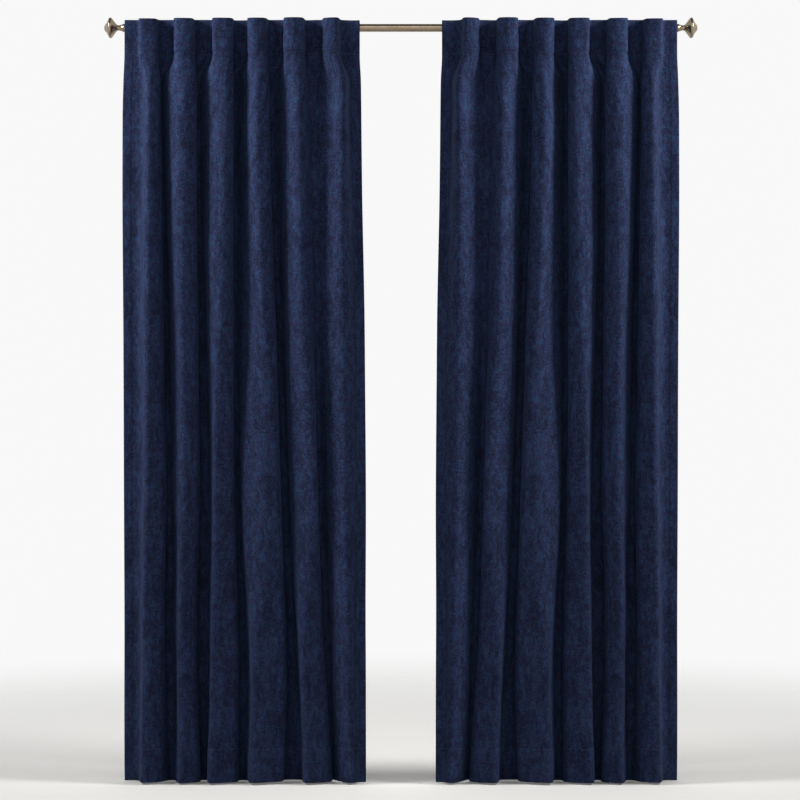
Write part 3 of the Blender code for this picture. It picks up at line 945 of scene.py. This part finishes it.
def finish_named(name):
    """A finish by its maker's name, made the first time that it is asked for."""
    makers = {
        "velvety_cloth": velvety_cloth,
        "cloth_reverse": cloth_reverse,
        "sewing_thread": sewing_thread,
        "satin_nickel": satin_nickel,
    }
    return bpy.data.materials.get(name) or makers[name](bpy.context.scene.curtain_finishes)


def hang(piece, slot, *nodes):
    """Puts a finished piece on the frame in place of its plain solids."""
    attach(piece, "root")
    if nodes:
        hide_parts(*nodes)
    return piece


# ---------------------------------------------------------------- pieces
class CURTAINS_OT_panels(bpy.types.Operator):
    """Hang the two panels in their folds"""

    bl_idname = "curtains.panels"
    bl_label = "Panels"

    def execute(self, context):
        sizes = context.scene.curtain_sizes
        middle, layout = panel_surface(sizes)
        hemmed = turned_back(layout)
        half = sizes.cloth_thickness / 2
        before = half + hemmed * (sizes.hem_thickness - sizes.cloth_thickness)
        behind = np.full_like(before, half)
        quarters = hemmed[:-1, :-1] + hemmed[1:, :-1] + hemmed[:-1, 1:] + hemmed[1:, 1:]
        back_finish = np.where(quarters.ravel() > 2, 0, 1)
        finishes = [finish_named("velvety_cloth"), finish_named("cloth_reverse")]
        for side, word in SIDES:
            panel = thick_sheet(
                f"panel_cloth_{word}", middle, layout, before, behind, finishes, back_finish, side > 0
            )
            hang(panel, "cloth", f"panel_{word}")
        return {"FINISHED"}


def tab_line():
    """A tab's middle line across the rod: down from the heading, round the rod's back, and in again."""
    front = PANEL_BACK_Y + GAP + TAB_THICKNESS / 2
    radius = ROD_RADIUS + TAB_FROM_ROD + TAB_THICKNESS / 2
    low_seam = (front, TOP_Z - HEADING_DEPTH + TAB_SEAM)
    reach = math.dist((ROD_Y, ROD_Z), low_seam)
    leaves_at = math.atan2(low_seam[1] - ROD_Z, low_seam[0] - ROD_Y) + math.acos(radius / reach)
    turn = np.linspace(TAB_MEETS_ROD, leaves_at, TAB_TURN_STEPS)
    round_rod = np.stack([ROD_Y + radius * np.cos(turn), ROD_Z + radius * np.sin(turn)], axis=1)
    top, bottom = (front, TOP_Z - TAB_BELOW_TOP), (front, TOP_Z - HEADING_DEPTH)
    line = np.vstack([[top], round_rod, [low_seam, bottom]])
    return spaced_along(line, np.linspace(0, 1, TAB_ROWS + 1))


class CURTAINS_OT_tabs(bpy.types.Operator):
    """Sew the back tabs that hold each panel on the rod"""

    bl_idname = "curtains.tabs"
    bl_label = "Back tabs"

    def execute(self, context):
        line = tab_line()
        length = line_length(line)
        for _, word in SIDES:
            for number in range(1, TABS_PER_PANEL + 1):
                node = f"tab_{word}_{number}"
                low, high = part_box(node)
                across = np.linspace(0, high[0] - low[0], TAB_COLUMNS + 1)
                middle = np.empty((TAB_ROWS + 1, TAB_COLUMNS + 1, 3))
                middle[:, :, 0] = low[0] + across
                middle[:, :, 1:] = line[:, None, :]
                down = np.linspace(0, length, TAB_ROWS + 1)
                layout = np.stack(np.meshgrid(across + number, down), axis=2)
                ripple = Ripple(TAB_FIRST_SEED + number, TAB_RIPPLE_ACROSS, TAB_RIPPLE_DOWN, 1.0)
                height = np.abs(rippled(ripple, layout[..., 0], layout[..., 1]))
                free = np.clip((down - TAB_HELD_ABOVE) / TAB_LOOSENS_OVER, 0, 1)
                free *= np.clip((length - TAB_HELD_BELOW - down) / TAB_LOOSENS_OVER, 0, 1)
                middle -= outward_from(middle) * (height * free[:, None])[..., None] * TAB_RIPPLE
                half = np.full(middle.shape[:2], TAB_THICKNESS / 2)
                back_finish = np.zeros(TAB_ROWS * TAB_COLUMNS)
                tab = thick_sheet(
                    f"tab_cloth_{word}_{number}", middle, layout, half, half,
                    [finish_named("velvety_cloth")], back_finish, False,
                )
                hang(tab, "cloth", node)
        return {"FINISHED"}


def seam_lines(middle, layout, face, outward):
    """The rows of stitching on one face of a panel, each as points and the way that they face."""
    across, heights = layout[0, :, 0], layout[:, 0, 1]

    def row_at(height):
        row = np.interp(height, heights[::-1], np.arange(len(heights))[::-1])
        return face[int(round(row))], outward[int(round(row))]

    def column_at(distance):
        column = int(round(np.interp(distance, across, np.arange(len(across)))))
        rows = (heights > HEM_DEPTH) & (heights < FINISHED_LENGTH - HEADING_DEPTH)
        return face[rows, column], outward[rows, column]

    return [
        row_at(FINISHED_LENGTH - HEADING_DEPTH), row_at(HEM_DEPTH),
        column_at(SIDE_HEM), column_at(FINISHED_WIDTH - SIDE_HEM),
    ]


class CURTAINS_OT_stitching(bpy.types.Operator):
    """Sew the heading, the hems and the tabs"""

    bl_idname = "curtains.stitching"
    bl_label = "Stitching"

    def execute(self, context):
        sizes = context.scene.curtain_sizes
        middle, layout = panel_surface(sizes)
        outward = outward_from(middle)
        radius = sizes.thread_thickness / 2
        hemmed = turned_back(layout)[..., None]
        half = sizes.cloth_thickness / 2
        front = middle + outward * (half + hemmed * (sizes.hem_thickness - sizes.cloth_thickness))
        back = middle - outward * half
        rows = seam_lines(middle, layout, front, outward) + seam_lines(middle, layout, back, -outward)
        parts = [stitches_on(line, up, sizes.stitch_length, sizes.stitch_gap, radius) for line, up in rows]
        tab_down = tab_line()
        for number in range(1, TABS_PER_PANEL + 1):
            low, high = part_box(f"tab_left_{number}")
            for place in TAB_STITCHED_ROWS:
                y, z = tab_down[place]
                line = np.empty((TAB_STITCH_POINTS, 3))
                ends = (low[0] + TAB_STITCH_INSET, high[0] - TAB_STITCH_INSET)
                line[:, 0] = np.linspace(*ends, TAB_STITCH_POINTS)
                line[:, 1:] = (y + TAB_THICKNESS / 2, z)
                up = np.tile([0.0, 1.0, 0.0], (TAB_STITCH_POINTS, 1))
                parts.append(stitches_on(line, up, sizes.stitch_length, sizes.stitch_gap, radius))
        points, faces = gathered(parts)
        for side, word in SIDES:
            if side > 0:
                points, faces = points * MIRROR, [face[::-1] for face in faces]
            stitching = mesh_object(f"stitching_{word}", points, faces, [finish_named("sewing_thread")])
            hang(stitching, "cloth")
        return {"FINISHED"}


class CURTAINS_OT_rod(bpy.types.Operator):
    """Fit the round rod"""

    bl_idname = "curtains.rod"
    bl_label = "Rod"

    def execute(self, context):
        profile = [
            (-ROD_END, ROD_RADIUS - ROD_CHAMFER), (-ROD_END + ROD_CHAMFER, ROD_RADIUS),
            (ROD_END - ROD_CHAMFER, ROD_RADIUS), (ROD_END, ROD_RADIUS - ROD_CHAMFER),
        ]
        points, faces = turned_shape(profile, ROUND_SIDES)
        rod = mesh_object("rod_tube", points, faces, [finish_named("satin_nickel")], crisp_above=CRISP_ANGLE)
        rod.location = (0, ROD_Y, ROD_Z)
        hang(rod, "nickel", "rod")
        return {"FINISHED"}


class CURTAINS_OT_finials(bpy.types.Operator):
    """Fit a turned finial at each end of the rod"""

    bl_idname = "curtains.finials"
    bl_label = "Finials"

    def execute(self, context):
        profile = corners_cut(FINIAL_PROFILE, FINIAL_CORNER_CUTS)
        length = FINIAL_HIGH[0] - FINIAL_LOW[0]
        profile[:, 0] *= length / profile[-1, 0]
        points, faces = turned_shape(profile, ROUND_SIDES)
        points[:, 0] -= length
        finish = finish_named("satin_nickel")
        for side, word in SIDES:
            turned = points if side < 0 else points * MIRROR
            wound = faces if side < 0 else [face[::-1] for face in faces]
            finial = mesh_object(f"turned_finial_{word}", turned, wound, [finish], crisp_above=CRISP_ANGLE)
            finial.location = (side * FINIAL_LOW[0], ROD_Y, ROD_Z)
            hang(finial, "nickel", f"finial_{word}")
        return {"FINISHED"}


def cradle_outline():
    """The bracket's side: an open cradle under the rod, and its arm back to the wall."""
    inner = ROD_RADIUS + GAP
    outer = ROD_Y - BRACKET_LOW[1]
    turn = np.linspace(-math.pi, 0, CRADLE_STEPS + 1)
    outside = np.stack([outer * np.cos(turn), outer * np.sin(turn)], axis=1)
    inside = np.stack([inner * np.cos(turn), inner * np.sin(turn)], axis=1)[::-1]
    underside = -ARM_HEIGHT / 2
    kept = [point for point in outside if point[0] < 0 or point[1] < underside]
    wall = BRACKET_HIGH[1] - ROD_Y - PLATE_THICKNESS / 2
    return [
        (-outer, CRADLE_LIP), *kept, (wall, underside), (wall, -underside),
        (outer, -underside), (outer, CRADLE_LIP), (inner, CRADLE_LIP), *inside, (-inner, CRADLE_LIP),
    ]


def plate_shape():
    """Points and faces of a bracket's round plate, against the wall behind the rod's middle."""
    disc = [(0.0, PLATE_RADIUS)]
    disc += [(PLATE_THICKNESS - from_face, PLATE_RADIUS - from_rim) for from_face, from_rim in PLATE_EDGE]
    points, faces = turned_shape(corners_cut(disc, PLATE_CORNER_CUTS), ROUND_SIDES)
    return np.stack([points[:, 1], BRACKET_HIGH[1] - points[:, 0], points[:, 2] + ROD_Z], axis=1), faces


def cradle_and_arm(context, name, across, finish):
    """A bracket's cradle and arm, as thick as the bracket is wide, with rounded edges."""
    bm = bmesh.new()
    near_side = across - BRACKET_WIDTH / 2
    side_face = bm.faces.new([bm.verts.new((near_side, ROD_Y + y, ROD_Z + z)) for y, z in cradle_outline()])
    moved = bmesh.ops.extrude_face_region(bm, geom=[side_face])["geom"]
    far_side = [item for item in moved if isinstance(item, bmesh.types.BMVert)]
    bmesh.ops.translate(bm, vec=(BRACKET_WIDTH, 0, 0), verts=far_side)
    bmesh.ops.recalc_face_normals(bm, faces=bm.faces)
    mesh = bpy.data.meshes.new(name)
    bm.to_mesh(mesh)
    bm.free()
    mesh.materials.append(finish)
    bracket = bpy.data.objects.new(name, mesh)
    context.collection.objects.link(bracket)
    rounding = bracket.modifiers.new("Rounded edges", "BEVEL")
    rounding.width, rounding.segments = BRACKET_ROUNDING, BRACKET_ROUNDING_STEPS
    rounding.angle_limit = CRISP_ANGLE
    return bracket


def join_plate(context, bracket, plate):
    """Makes a bracket and its plate one closed mesh."""
    join = bracket.modifiers.new("Wall plate", "BOOLEAN")
    join.operation, join.object = "UNION", plate
    context.view_layer.update()
    joined = bpy.data.meshes.new_from_object(bracket.evaluated_get(context.evaluated_depsgraph_get()))
    bracket.modifiers.clear()
    bracket.data = joined
    bpy.data.objects.remove(plate)
    joined.shade_smooth()
    joined.set_sharp_from_angle(angle=CRISP_ANGLE)


class CURTAINS_OT_brackets(bpy.types.Operator):
    """Fit the wall brackets behind the cloth"""

    bl_idname = "curtains.brackets"
    bl_label = "Brackets"

    def execute(self, context):
        points, faces = plate_shape()
        finish = finish_named("satin_nickel")
        for _, word in SIDES:
            low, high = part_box(f"bracket_{word}")
            across = (low[0] + high[0]) / 2
            bracket = cradle_and_arm(context, f"wall_bracket_{word}", across, finish)
            plate = mesh_object(f"plate_{word}", points + [across, 0, 0], faces, [finish])
            join_plate(context, bracket, plate)
            hang(bracket, "nickel", f"bracket_{word}")
        return {"FINISHED"}


def soft_light(context, name, power, size, place, target):
    """A rectangular light that faces its target and stays out of sight."""
    data = bpy.data.lights.new(name, "AREA")
    data.shape, data.energy = "RECTANGLE", power
    data.size, data.size_y = size
    light = bpy.data.objects.new(name, data)
    light.location = place
    light.rotation_euler = (Vector(target) - Vector(place)).to_track_quat("-Z", "Z").to_euler()
    light.visible_camera = False
    context.collection.objects.link(light)
    return light


def lay_floor(context, studio):
    bpy.ops.mesh.primitive_circle_add(
        vertices=FLOOR_SIDES, radius=FLOOR_RADIUS, fill_type="NGON", location=(0, 0, HEM_Z - FLOOR_BELOW_HEM)
    )
    floor = context.object
    floor.name = "floor"
    floor.data.materials.append(painted_floor(studio))


def light_room(context, studio):
    """A bright backdrop behind the curtains, a bright room before them and a dim ceiling."""
    world = bpy.data.worlds.new("Backdrop")
    context.scene.world = world
    graph = Graph(world)
    direction = graph.node("ShaderNodeTexCoord", output="Generated")
    forward = graph.node("ShaderNodeSeparateXYZ", None, {"Vector": direction}, output="Y")
    upward = graph.node("ShaderNodeSeparateXYZ", None, {"Vector": direction}, output="Z")
    levels = (studio.room_light, studio.backdrop_light, studio.ceiling_light)
    room, backdrop, ceiling = (rgba([level] * 3) for level in levels)
    colour = graph.blend(forward.between(*BACKDROP_TURN), room, backdrop)
    colour = graph.blend(upward.between(*CEILING_TURN), colour, ceiling)
    graph.feed(graph.nodes["Background"], {"Color": colour})


def place_lights(context, studio):
    """A tall light at each side that leaves out the other panel, and a weak one in front."""
    top_height = HEM_Z + FINISHED_LENGTH
    side_height = top_height + SIDE_LIGHT_RAISED
    for side, word in SIDES:
        light = soft_light(
            context, f"side_light_{word}", studio.side_light_power, (SIDE_LIGHT_WIDTH, SIDE_LIGHT_HEIGHT),
            (side * studio.side_light_out, -studio.side_light_forward, side_height),
            (side * LIGHT_AIM, PANEL_FLAT_Y, top_height),
        )
        light.data.spread = studio.side_light_spread
        other_word = "right" if side < 0 else "left"
        lit = bpy.data.collections.new(f"lit_from_{word}")
        for piece in context.collection.objects:
            if piece.type == "MESH" and other_word not in piece.name:
                lit.objects.link(piece)
        light.light_linking.receiver_collection = lit
    soft_light(
        context, "front_light", studio.front_light_power, (FRONT_LIGHT_WIDTH, FRONT_LIGHT_HEIGHT),
        (0.0, -studio.front_light_forward, top_height + FRONT_LIGHT_RAISED),
        (0.0, PANEL_FLAT_Y, top_height),
    )


def place_camera(context, studio):
    camera = bpy.data.objects.new("camera", bpy.data.cameras.new("camera"))
    context.collection.objects.link(camera)
    camera.data.sensor_width = SENSOR_WIDTH
    camera.data.lens = SENSOR_WIDTH / 2 * studio.camera_distance / HALF_VIEW
    camera.location = (CAMERA_SIDEWAYS, PANEL_FLAT_Y - studio.camera_distance, HEM_Z + CAMERA_ABOVE_HEM)
    camera.rotation_euler = (math.pi / 2, 0, 0)
    context.scene.camera = camera


class CURTAINS_OT_stage(bpy.types.Operator):
    """Set the pale floor, the lights and the camera"""

    bl_idname = "curtains.stage"
    bl_label = "Stage"

    def execute(self, context):
        studio = context.scene.curtain_studio
        lay_floor(context, studio)
        light_room(context, studio)
        place_lights(context, studio)
        place_camera(context, studio)
        context.scene.view_settings.view_transform = "Standard"
        return {"FINISHED"}


PIECES = (
    CURTAINS_OT_panels, CURTAINS_OT_tabs, CURTAINS_OT_rod, CURTAINS_OT_stitching,
    CURTAINS_OT_finials, CURTAINS_OT_brackets, CURTAINS_OT_stage,
)


class CURTAINS_PT_sidebar(bpy.types.Panel):
    """The curtains' pieces, sizes and colours"""

    bl_label = "Back-tab Curtains"
    bl_idname = "CURTAINS_PT_sidebar"
    bl_space_type = "VIEW_3D"
    bl_region_type = "UI"
    bl_category = "Curtains"

    def draw(self, context):
        for piece in PIECES:
            self.layout.operator(piece.bl_idname)
        for group in [getattr(context.scene, name) for name in GROUPS]:
            box = self.layout.box()
            for name in group.__annotations__:
                box.prop(group, name)


GROUPS = {
    "curtain_sizes": CurtainSizes,
    "curtain_finishes": CurtainFinishes,
    "curtain_studio": CurtainStudio,
}


def register():
    for name, group in GROUPS.items():
        bpy.utils.register_class(group)
        setattr(bpy.types.Scene, name, PointerProperty(type=group))
    for piece in (*PIECES, CURTAINS_PT_sidebar):
        bpy.utils.register_class(piece)


def unregister():
    for piece in reversed((*PIECES, CURTAINS_PT_sidebar)):
        bpy.utils.unregister_class(piece)
    for name, group in GROUPS.items():
        delattr(bpy.types.Scene, name)
        bpy.utils.unregister_class(group)


def main():
    register()
    for piece in PIECES:
        category, name = piece.bl_idname.split(".")
        getattr(getattr(bpy.ops, category), name)()


if __name__ == "__main__":
    main()
